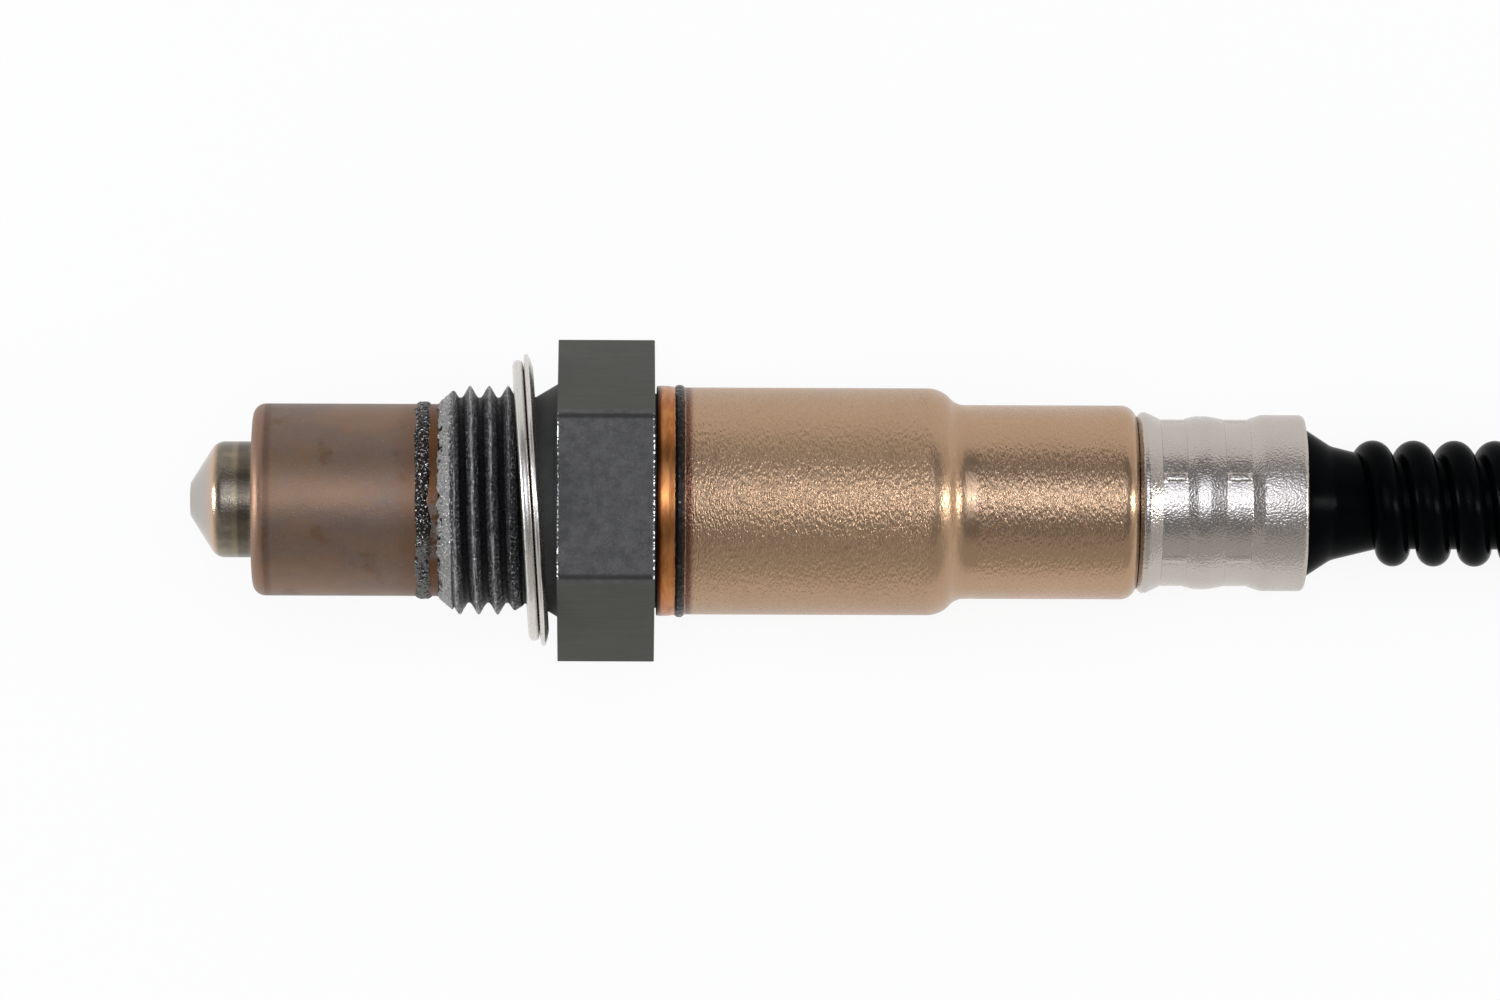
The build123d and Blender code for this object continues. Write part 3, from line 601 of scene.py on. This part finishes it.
# %% Paste collar
paste_corners = [
    (-9.32, 7.4), (-9.3, 7.68), (-9.12, 7.9), (-8.6, 8.37), (-8.3, 8.6), (-8.16, 8.45), (-8.16, 7.4), (-9.32, 7.4)
]
paste = draw_line("paste_collar", paste_corners)
bpy.ops.mesh.select_all(action="SELECT")
bpy.ops.mesh.remove_doubles(threshold=1e-6)
bpy.ops.mesh.subdivide(number_cuts=3)
spin_line(400)
edge = paste.vertex_groups.new(name="front_edge")
front_rows = [vertex.index for vertex in paste.data.vertices if vertex.co.x < -9.1 * MM]
edge.add(front_rows, 1.0, "REPLACE")
ripple(paste, 0.16, 0.35, 3, seed=7)
ripple(paste, 0.7, 0.6, 3, seed=21, direction="X", group="front_edge")
paste.vertex_groups.clear()
settle(paste, slot="shell_steel", angle=70)

# %% [markdown]
# The crush gasket is one strip of thin steel, folded twice and turned in at its rim, so it has a fat
# round lobe in front and a thin one behind, with a dark slit between them. It is loose on the neck and
# leans. The closed section is spun and then the ring is turned and lifted, with the pivot given.

# %% Crush gasket
gasket_corners = [
    (-0.81, 9.85), (-0.81, 10.6, 0.3), (-0.7, 10.96, 0.3), (-0.36, 11.15, 0.45), (-0.02, 10.96, 0.25),
    (0.07, 10.62, 0.25), (0.1, 10.2), (0.12, 11.25, 0.15), (0.2, 11.5, 0.1), (0.46, 11.5, 0.12), (0.66, 11.0, 0.5),
    (0.81, 10.4, 0.1), (0.81, 9.95), (0.5, 9.95), (0.46, 10.9), (0.43, 10.9), (0.43, 9.2, 0.12), (0.3, 9.06, 0.12),
    (-0.1, 9.06, 0.1), (-0.22, 9.2, 0.1), (-0.22, 10.7), (-0.5, 10.7), (-0.5, 9.85), (-0.81, 9.85)
]
gasket = turn_tube("gasket_ring", gasket_corners, closed=True, segments=4)
lean = Euler((0, math.radians(0.6), math.radians(3.7))).to_matrix()
for vertex in gasket.data.vertices:
    vertex.co = Vector((-2.15, 0, 0.55)) * MM + lean @ vertex.co
settle(gasket, "crush_gasket", slot="gasket_steel")

# %% [markdown]
# The body sleeve is a deep-drawn stainless tube with a soft shoulder. Its front end is slightly swollen
# by the weld and polished to a copper colour. One open line, spun and given a wall, makes all of it.

# %% Body sleeve
sleeve_corners = [
    (7.75, 8.95), (7.8, 9.05, 0.05), (8.1, 9.08, 0.3), (8.7, 9.06, 0.5), (9.17, 8.99, 0.3), (9.6, 8.95, 0.3),
    (30.1, 8.95, 2.2), (31.38, 7.65, 1.35), (45.6, 7.65, 1.25), (45.6, 5.2), (57.1, 5.2)
]
sleeve = turn_tube("sleeve_tube", sleeve_corners, wall=0.5, segments=12)
settle(sleeve, "body_sleeve", slot="sleeve_steel")

# %% [markdown]
# The crimp sleeve is soft aluminium tube with a rolled front lip. A press with six jaws squeezed two
# grooves into it, and a small ridge was left standing between each two jaws. The sleeve is spun with
# extra rows in its grooves, and the ridges are raised by moving those rows' vertices, because they fade
# into the grooves' ends, which a separate block wouldn't.

# %% Crimp sleeve
def groove_rows(front, rear, radius, rows=9):
    """Evenly spaced corners along a groove's floor."""
    return [(front + (rear - front) * number / rows, radius) for number in range(1, rows)]


crimp_corners = [(45.6, 6.79), (45.95, 7.14, 0.35), (46.3, 7.14, 0.35), (47.36, 6.64), (47.4, 6.57)]
crimp_corners += groove_rows(47.4, 49.32, 6.57)
crimp_corners += [(49.32, 6.57), (49.36, 6.62), (50.2, 6.83, 1.4), (51.1, 6.83, 1.4), (52.34, 6.62), (52.38, 6.57)]
crimp_corners += groove_rows(52.38, 54.36, 6.57)
crimp_corners += [(54.36, 6.57), (54.4, 6.62), (55.4, 6.95, 1.0), (58.8, 6.95, 0.4), (58.8, 5.95)]
crimp = draw_line("crimp_tube", crimp_corners)
round_corners(crimp, crimp_corners, 4)
spin_line(420)
GROOVES = ((47.42, 49.3), (52.4, 54.34))
# Six jaws leave six ridges. One is made to stand out and the other five are nearly flat, as if the jaws
# had closed unevenly.
JAWS, FIRST_RIDGE, TALL_RIDGE, FLAT_RIDGE = 6, 74.0, 0.13, 0.05
RIDGES = [(FIRST_RIDGE + 360 / JAWS * number, FLAT_RIDGE if number else TALL_RIDGE) for number in range(JAWS)]


def ridge_height(x, angle):
    """How far a ridge between two jaws stands out of its groove, in millimetres."""
    along = max(min((x - front) / 0.12, (rear - x) / 0.12, 1) for front, rear in GROOVES)
    across, rise = min((abs((angle - ridge + 180) % 360 - 180), rise) for ridge, rise in RIDGES)
    return rise * max(along, 0) * max(min((3.0 - across) / 1.1, 1), 0)


for vertex in crimp.data.vertices:
    radius = math.hypot(vertex.co.y, vertex.co.z)
    angle = math.degrees(math.atan2(vertex.co.z, vertex.co.y))
    rise = MM * ridge_height(vertex.co.x / MM, angle)
    vertex.co.y *= 1 + rise / radius
    vertex.co.z *= 1 + rise / radius
apply_modifier(crimp, "SOLIDIFY", thickness=0.36 * MM, offset=-1, use_even_offset=True)
settle(crimp, "crimp_sleeve", slot="crimp_metal")

# %% [markdown]
# The cable boot is moulded black rubber: a collar clamped under the crimp sleeve, a cone, a slim core
# with one helical rib that lets it bend, and a plain cuff at the mouth. The body is spun as a closed
# section. The rib is a circle screwed round the axis, and its open ends are closed with small domes made
# by extruding and shrinking the end faces.

# %% Cable boot
boot_corners = [
    (45.88, 5.2), (45.88, 6.5), (46.12, 6.74), (46.2, 6.74), (47.3, 6.17), (49.39, 6.17), (50.45, 6.43),
    (51.27, 6.43), (52.33, 6.17), (54.39, 6.17), (55.49, 6.55), (58.4, 6.55), (58.42, 5.9),
    (58.8, 5.9), (60.95, 4.5, 1.6), (64.55, 3.62, 1.0), (77.4, 3.62), (78.49, 3.62, 0.3), (78.49, 4.6, 0.35),
    (82.09, 4.6, 0.4), (82.09, 2.4, 0.3), (60.5, 2.4), (57.1, 5.2), (45.88, 5.2)
]
boot = turn_tube("boot_body", boot_corners, closed=True, segments=6)

RIB_PITCH, RIB_TURNS, RIB_RADIUS, RIB_CENTRE = 3.23, 4, 1.38, 3.6
deselect()
bpy.ops.mesh.primitive_circle_add(vertices=36, radius=RIB_RADIUS * MM)
rib = bpy.context.object
bpy.ops.object.mode_set(mode="EDIT")
bpy.ops.transform.translate(value=(63.45 * MM, RIB_CENTRE * MM, 0))
bpy.ops.object.mode_set(mode="OBJECT")
turn_back = Matrix.Rotation(-math.pi / 2, 4, "X")
rib.data.transform(turn_back)
apply_modifier(
    rib, "SCREW", axis="X", angle=2 * math.pi * RIB_TURNS, screw_offset=RIB_PITCH * RIB_TURNS * MM,
    steps=96 * RIB_TURNS, render_steps=96 * RIB_TURNS
)
bpy.ops.object.mode_set(mode="EDIT")
for side in (-1, 1):
    bpy.ops.mesh.select_all(action="DESELECT")
    mesh = bmesh.from_edit_mesh(rib.data)
    middle = 63.45 * MM if side < 0 else (63.45 + RIB_PITCH * RIB_TURNS) * MM
    for link in mesh.edges:
        ends = [vertex.co for vertex in link.verts]
        link.select = link.is_boundary and all(abs(end.x - middle) < 1.5 * MM for end in ends)
    bmesh.update_edit_mesh(rib.data)
    bpy.ops.mesh.edge_face_add()
    for rise, shrink in ((0.5, 0.87), (0.37, 0.58), (0.13, 0.3)):
        bpy.ops.mesh.extrude_region_move(TRANSFORM_OT_translate={"value": (0, side * rise * RIB_RADIUS * MM, 0)})
        bpy.ops.transform.resize(value=(shrink, 1, shrink))
bpy.ops.mesh.select_all(action="SELECT")
bpy.ops.mesh.normals_make_consistent(inside=False)
bpy.ops.object.mode_set(mode="OBJECT")
join(boot, rib)
settle(boot, "cable_boot", slot="boot_rubber", angle=40)

# %% [markdown]
# Heat and exhaust gas tint stainless steel: straw, brown and purple-blue films lie in soft patches, and
# deposits dull the shine. Film colours belong to the base colour of a metal, so they are mixed from
# large soft noise, and the same patches make the surface a little rougher or smoother.

# %% Heat-tinted shield
tint = Finish("heat_tinted_shield")
x, y, z = tint.axes()
patches = tint.noise(4.5, 3, 0.55, (0.6, 1, 1))
blush = tint.noise(3, 3, 0.6, (1, 1, 1), (31, 4, 9))
speckle = tint.noise(0.16, 2, 0.7)
cloudy = tint.noise(0.7, 3, 0.6)
brown = tint.mix(tint.step(patches, 0.38, 0.62), rgb(134, 108, 88), rgb(122, 103, 92))
brown = tint.mix(tint.step(blush, 0.55, 0.72) * 0.7, brown, rgb(110, 84, 62))
brown = tint.mix(tint.step(cloudy, 0.40, 0.65) * 0.25, brown, rgb(126, 112, 104))
near_weld = tint.step(x, -13.2, -11.2)
brown = tint.mix(near_weld * 0.5, brown, rgb(116, 82, 58))
orange = tint.step(x, -10.15, -9.95)
brown = tint.mix(orange, brown, rgb(100, 68, 44))
# The front rim is painted paler: a painted highlight where its round catches the light.
painted_rim_highlight = tint.step(x * -1, 22.95, 23.25)
brown = tint.mix(painted_rim_highlight * 0.7, brown, rgb(146, 116, 98))
reddish = tint.step(x * -1, 22.3, 22.7) * (1 - tint.step(x * -1, 22.9, 23.1))
brown = tint.mix(reddish * 0.5, brown, rgb(96, 68, 56))
brown = tint.mix(tint.step(speckle, 0.60, 0.75) * 0.3, brown, rgb(176, 160, 146))
paste_patch = tint.step(x, -10.2, -9.9) * tint.step(y * -1, -0.6, 1.2) * (1 - tint.step(y * -1, 4.2, 5.2))
paste_patch = paste_patch * tint.step(cloudy, 0.42, 0.55) * tint.step(z, 0, 2)
brown = tint.mix(paste_patch * 0.8, brown, rgb(130, 122, 116))
rough = 0.36 + patches * 0.12 + speckle * 0.10 + paste_patch * 0.2
relief = tint.bump(speckle, 0.018)
relief = tint.bump(cloudy, 0.02, 1.0, relief)
dress(outer_shield, tint.shader(base_color=brown, metallic=0.9, roughness=rough, normal=relief))

# %% Tip tube
tip = Finish("tip_steel")
x, y, z = tip.axes()
streaks = tip.noise(1.6, 3, 0.6, (0.6, 1, 1), (5, 0, 0))
fine = tip.noise(0.17, 2, 0.6)
steel = tip.mix(tip.step(streaks, 0.35, 0.65), rgb(138, 128, 114), rgb(114, 106, 94))
cone = 1 - tip.step(x, -27.1, -26.8)
steel = tip.mix(cone, steel, rgb(178, 173, 167))
# The corner between the cone and the tube is painted peach: a painted highlight.
corner = tip.step(x, -27.9, -27.0) * (1 - tip.step(x, -26.9, -26.6))
steel = tip.mix(corner * 0.55, steel, rgb(206, 168, 138))
# A dark band on the tube just ahead of the shield's front face is painted shade of the shield's rim.
painted_shade_band = tip.step(x, -25.4, -24.9) * (1 - tip.step(x, -24.4, -24.0))
steel = tip.mix(painted_shade_band * 0.6, steel, rgb(74, 64, 54))
# A golden band in front of the dark one is a painted highlight.
painted_golden_highlight = tip.step(x, -25.7, -25.4) * (1 - tip.step(x, -25.2, -25.0))
steel = tip.mix(painted_golden_highlight * 0.35, steel, rgb(158, 140, 110))
rough = 0.20 + streaks * 0.10 + fine * 0.06 - cone * 0.08
relief = tip.bump(fine * (1 - cone * 0.7), 0.022)
dress(inner_shield, tip.shader(base_color=steel, metallic=1.0, roughness=rough, normal=relief))

# %% [markdown]
# Weld metal and soot are nearly black and coarse. Voronoi cells make the bump of the grains, and a noise
# picks the specks that are paler and smoother: white on the front bead, only dark grey on the rear one.

# %% Weld finish
def weld_finish(name, dark, pale, grain, reach, share):
    weld = Finish(name)
    x, y, z = weld.axes()
    grains = weld.cells(grain)
    lumps = weld.noise(grain * 3, 3, 0.65)
    spark = weld.step(weld.noise(grain * 0.9, 2, 0.8), 0.57, 0.65)
    patch = weld.step(y * -1, 2.6, 4.2) * weld.step(lumps, 0.42, 0.55) * weld.step(z, 0, 2) * share
    base = weld.mix(spark, dark, pale)
    base = weld.mix(patch, base, rgb(112, 112, 108))
    rough = 0.42 - spark * 0.25 + patch * 0.2
    relief = weld.bump(grains, reach)
    relief = weld.bump(lumps, reach * 2, 1.0, relief)
    return weld.shader(base_color=base, metallic=0.85, roughness=rough, normal=relief)


dress(front_bead, weld_finish("sooty_weld", rgb(42, 38, 35), rgb(220, 220, 220), 0.2, 0.16, 1.0))
dress(rear_bead, weld_finish("bright_weld", rgb(40, 35, 32), rgb(72, 66, 60), 0.5, 0.05, 0.0))

# %% [markdown]
# The shell is steel with a dark oxide skin. Its faces are matt and mottled, the end edges of its upper
# and lower flats are worn to bright dots, and its thread is filled with grey paste full of graphite
# grains. Painted shade darkens the long edges of the upper and lower flats, the thread's roots and the
# neck by the gasket, and a painted highlight lightens the thread's crests. One finish serves the whole
# shell, and masks by place keep the three looks apart.

# %% Shell finish
hull = Finish("dark_shell")
x, y, z = hull.axes()
radius = (y * y + z * z) ** 0.5
cloud = hull.noise(1.0, 4, 0.65)
fine = hull.noise(0.14, 3, 0.7)
strokes = hull.noise(0.35, 3, 0.6, (0.08, 1, 1))
face = hull.mix(hull.step(cloud, 0.3, 0.7), rgb(67, 66, 66), rgb(87, 86, 86))
face = hull.mix(hull.step(fine, 0.5, 0.75) * 0.4, face, rgb(118, 118, 121))
sides = hull.step(y.size(), 6.6, 7.0)
olive = hull.mix(strokes, rgb(66, 67, 61), rgb(80, 81, 75))
face = hull.mix(sides, face, olive)
# Thin dark lines along the long edges of the upper and lower flats are painted shade.
painted_edge_shade = hull.step(y.size(), 5.95, 6.2) * (1 - hull.step(y.size(), 6.35, 6.6)) * hull.step(radius, 11.5, 12.2)
face = hull.mix(painted_edge_shade * 0.8, face, rgb(36, 36, 34))
ends = (1 - hull.step(x, 0.05, 0.16)) + hull.step(x, 7.42, 7.52)
dots = hull.step(hull.noise(0.22, 1, 0.6), 0.5, 0.56) * ends.least(1) * hull.step(z.size(), 10.78, 10.9)
dots = dots * (1 - sides)
face = hull.mix(dots, face, rgb(250, 250, 250))
on_thread = 1 - hull.step(x, -2.3, -1.7)
grit = hull.noise(0.2, 4, 0.8)
lump = hull.noise(0.5, 3, 0.6)
rings = hull.noise(0.35, 2, 0.6, (2.2, 0.25, 0.25))
sparkle = hull.step(hull.noise(0.17, 1, 0.5), 0.60, 0.65)
greys = hull.mix(hull.step(grit, 0.38, 0.68), rgb(42, 42, 43), rgb(102, 102, 104))
greys = hull.mix(hull.step(lump, 0.48, 0.66) * 0.45, greys, rgb(98, 98, 101))
# The thread's roots are painted dark: painted shade.
root = 1 - hull.step(radius, 8.2, 8.5)
greys = hull.mix(root * 0.85, greys, rgb(14, 14, 15))
# The crests are painted paler in streaks: a painted highlight.
crest = hull.step(radius, 8.80, 8.95) * hull.step(rings, 0.38, 0.56)
greys = hull.mix(crest * 0.7, greys, rgb(168, 168, 170))
greys = hull.mix(sparkle * (1 - root) * 0.9, greys, rgb(225, 225, 225))
neck = hull.step(x, -2.9, -2.3)
skin = hull.mix(neck, hull.mix(on_thread, face, greys), face)
# The neck round and behind the gasket is darkened up to the hexagon: painted shade between the parts.
skin = hull.mix(neck * (1 - hull.step(x, -0.2, 0.0)) * 0.7, skin, rgb(44, 45, 43))
paste_area = on_thread * (1 - neck)
rough = 0.55 + cloud * 0.1 - dots * 0.3 - paste_area * 0.12 - sparkle * paste_area * 0.25
relief = hull.bump(fine, 0.012, 0.6)
relief = hull.bump(grit * paste_area, 0.24, 1.0, relief)
relief = hull.bump(rings * paste_area, 0.15, 1.0, relief)
relief = hull.bump(strokes * sides, 0.012, 0.8, relief)
shine = dots * 0.6 + paste_area * 0.4 + 0.32
shell_material = hull.shader(base_color=skin, metallic=shine, roughness=rough, normal=relief, specular=0.35)
dress(shell, shell_material)

# %% Paste finish
smear = Finish("anti_seize_paste")
grit = smear.noise(0.15, 3, 0.75)
lump = smear.noise(0.5, 3, 0.6)
flake = smear.step(smear.noise(0.12, 1, 0.5), 0.60, 0.66)
grey = smear.mix(smear.step(grit, 0.3, 0.7), rgb(98, 98, 98), rgb(164, 164, 163))
grey = smear.mix(flake, grey, rgb(230, 230, 228))
pits = 1 - smear.step(lump, 0.30, 0.38)
grey = smear.mix(pits * 0.85, grey, rgb(24, 24, 24))
rough = 0.46 - flake * 0.25
relief = smear.bump(grit, 0.12)
relief = smear.bump(lump, 0.16, 1.0, relief)
dress(paste, smear.shader(base_color=grey, metallic=0.85, roughness=rough, normal=relief))

# %% [markdown]
# The gasket is bright rolled steel with fine lines round it from folding, and grime in its slits. The
# lines come from noise squeezed along the axis, so they run round the ring.

# %% Gasket finish
bright = Finish("gasket_steel")
lines = bright.noise(0.5, 3, 0.6, (6, 0.5, 0.5))
grime = bright.noise(0.35, 4, 0.7, (1.6, 0.5, 0.5), (3, 3, 3))
metal = bright.mix(lines, rgb(226, 222, 217), rgb(192, 187, 182))
metal = bright.mix(bright.step(grime, 0.60, 0.72) * 0.6, metal, rgb(82, 78, 74))
rough = 0.16 + lines * 0.1 + grime * 0.12
relief = bright.bump(lines, 0.012)
relief = bright.bump(grime, 0.02, 1.0, relief)
dress(gasket, bright.shader(base_color=metal, metallic=1.0, roughness=rough, normal=relief))

# %% [markdown]
# The body sleeve's steel has a bronze film from its heat treatment, and deep drawing left orange peel:
# small bumps about 0.14 mm along the tube and nearly three times that round it. They are too fine for
# the mesh, so they are a bump in the finish, and flicker where the tent's dark ring is mirrored. Over the
# shoulder and the rear round the die ironed the peel flat, so those two stay smooth and glint. In front
# of the weld the tube is polished copper-gold, and behind it the heat left a wine-red line.

# %% Sleeve finish
bronze = Finish("bronze_sleeve")
x, y, z = bronze.axes()
peel = bronze.noise(0.14, 1, 0.5, (1, 0.36, 0.36))
clouds = bronze.noise(5, 3, 0.5)
film = bronze.mix(clouds, rgb(180, 149, 121), rgb(172, 141, 113))
film = bronze.mix(bronze.step(peel, 0.35, 0.7) * 0.3, film, rgb(190, 158, 130))
behind = bronze.step(x, 9.9, 10.1)
wine = behind * (1 - bronze.step(x, 10.2, 10.75))
film = bronze.mix(wine * 0.85, film, rgb(92, 44, 36))
collar = 1 - bronze.step(x, 9.1, 9.3)
burn = bronze.noise(0.5, 3, 0.6, (1.2, 0.3, 0.3))
copper = bronze.mix(bronze.step(burn, 0.36, 0.70), rgb(186, 124, 74), rgb(158, 96, 52))
# The collar's front edge is darkened: painted shade of the gap to the hexagon.
copper = bronze.mix(1 - bronze.step(x, 7.9, 8.3), copper, rgb(84, 42, 22))
film = bronze.mix(collar, film, copper)
drawn = bronze.step(x, 28.7, 29.6) * (1 - bronze.step(x, 32.4, 33.2)) + bronze.step(x, 44.0, 44.6)
slim = bronze.step(x, 31.5, 33)
rough = 0.30 - slim * 0.06 + clouds * 0.06 - collar * 0.03 - drawn * 0.03
texture = (1 - collar) * (1 - drawn * 0.8)
relief = bronze.bump(peel * texture * (1 - slim * 0.35), 0.135)
dress(sleeve, bronze.shader(base_color=film, metallic=1.0, roughness=rough, normal=relief))

# %% Crimp finish
tin = Finish("crimp_aluminium")
x, y, z = tin.axes()
peel = tin.noise(0.17, 1, 0.5)
cloud = tin.noise(2.2, 3, 0.6, (1, 0.5, 0.5))
bulge = tin.step(x, 49.6, 50.3) * (1 - tin.step(x, 51.4, 52.1))
land = tin.step(x, 54.6, 55.6)
metal = tin.mix(cloud, rgb(192, 184, 176), rgb(182, 174, 167))
rough = 0.15 + cloud * 0.06 + peel * 0.05 - bulge * 0.02 + land * 0.05
relief = tin.bump(peel * (0.6 + land * 0.2), 0.062)
dress(crimp, tin.shader(base_color=metal, metallic=1.0, roughness=rough, normal=relief))

# %% [markdown]
# Boot rubber is black with a faint blue cast and a low, smooth sheen from its mould. Dust and flow marks
# vary its roughness a little.

# %% Boot finish
rubber = Finish("boot_rubber")
dust = rubber.noise(1.2, 4, 0.65)
flow = rubber.noise(0.25, 2, 0.6)
black = rubber.mix(dust, (0.0008, 0.0011, 0.0014, 1), (0.0015, 0.0019, 0.0023, 1))
rough = 0.16 + dust * 0.10 + flow * 0.04
relief = rubber.bump(flow, 0.008)
dress(boot, rubber.shader(base_color=black, metallic=0.0, roughness=rough, normal=relief, specular=0.02))

# %% [markdown]
# The pieces inside keep their CAD shapes. Of them only the leads' cut ends show, in the boot's mouth, and
# hardly anything of the rest through the gas ports. Each has its own
# fired, pressed, rolled or moulded finish, made by one helper from two tones, a grain and a shine.

# %% Inner finishes
INNER = {
    "zirconia": (rgb(222, 220, 210), rgb(198, 196, 188), 0.4, 0.0, 0.45),
    "alumina": (rgb(238, 236, 228), rgb(222, 219, 210), 0.3, 0.0, 0.55),
    "talc": (rgb(206, 204, 198), rgb(178, 176, 170), 0.2, 0.0, 0.8),
    "plain_steel": (rgb(186, 186, 186), rgb(156, 156, 158), 0.25, 1.0, 0.3),
    "contact_alloy": (rgb(214, 206, 190), rgb(190, 180, 160), 0.2, 1.0, 0.25),
    "grommet_rubber": (rgb(64, 56, 52), rgb(50, 44, 42), 0.5, 0.0, 0.55),
    "lead_white": (rgb(232, 232, 228), rgb(214, 214, 208), 0.8, 0.0, 0.35),
}


def inner_finish(name, first, second, grain, metallic, shine):
    inner = Finish(name)
    tone = inner.noise(grain * 4, 3, 0.6)
    fine = inner.noise(grain, 2, 0.6)
    base = inner.mix(tone, first, second)
    rough = shine + fine * 0.1
    relief = inner.bump(fine, 0.01)
    return inner.shader(base_color=base, metallic=metallic, roughness=rough, normal=relief)


inner_materials = {name: inner_finish(name, *values) for name, values in INNER.items()}
print("inner finishes:", len(inner_materials))

# %% Give each kept node its finish
OUTER = {
    "heat_tinted_steel": outer_shield, "tip_steel": inner_shield, "weld_bead": front_bead, "shell_steel": shell,
    "gasket_steel": gasket, "sleeve_steel": sleeve, "crimp_metal": crimp, "boot_rubber": boot
}
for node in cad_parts.values():
    for number, place in enumerate(node.material_slots):
        slot_name = place.material.name.split(".")[0]
        if slot_name in inner_materials:
            place.material = inner_materials[slot_name]
        elif slot_name in OUTER:
            place.material = OUTER[slot_name].data.materials[0]
        else:
            print("no finish for", node.name, slot_name)
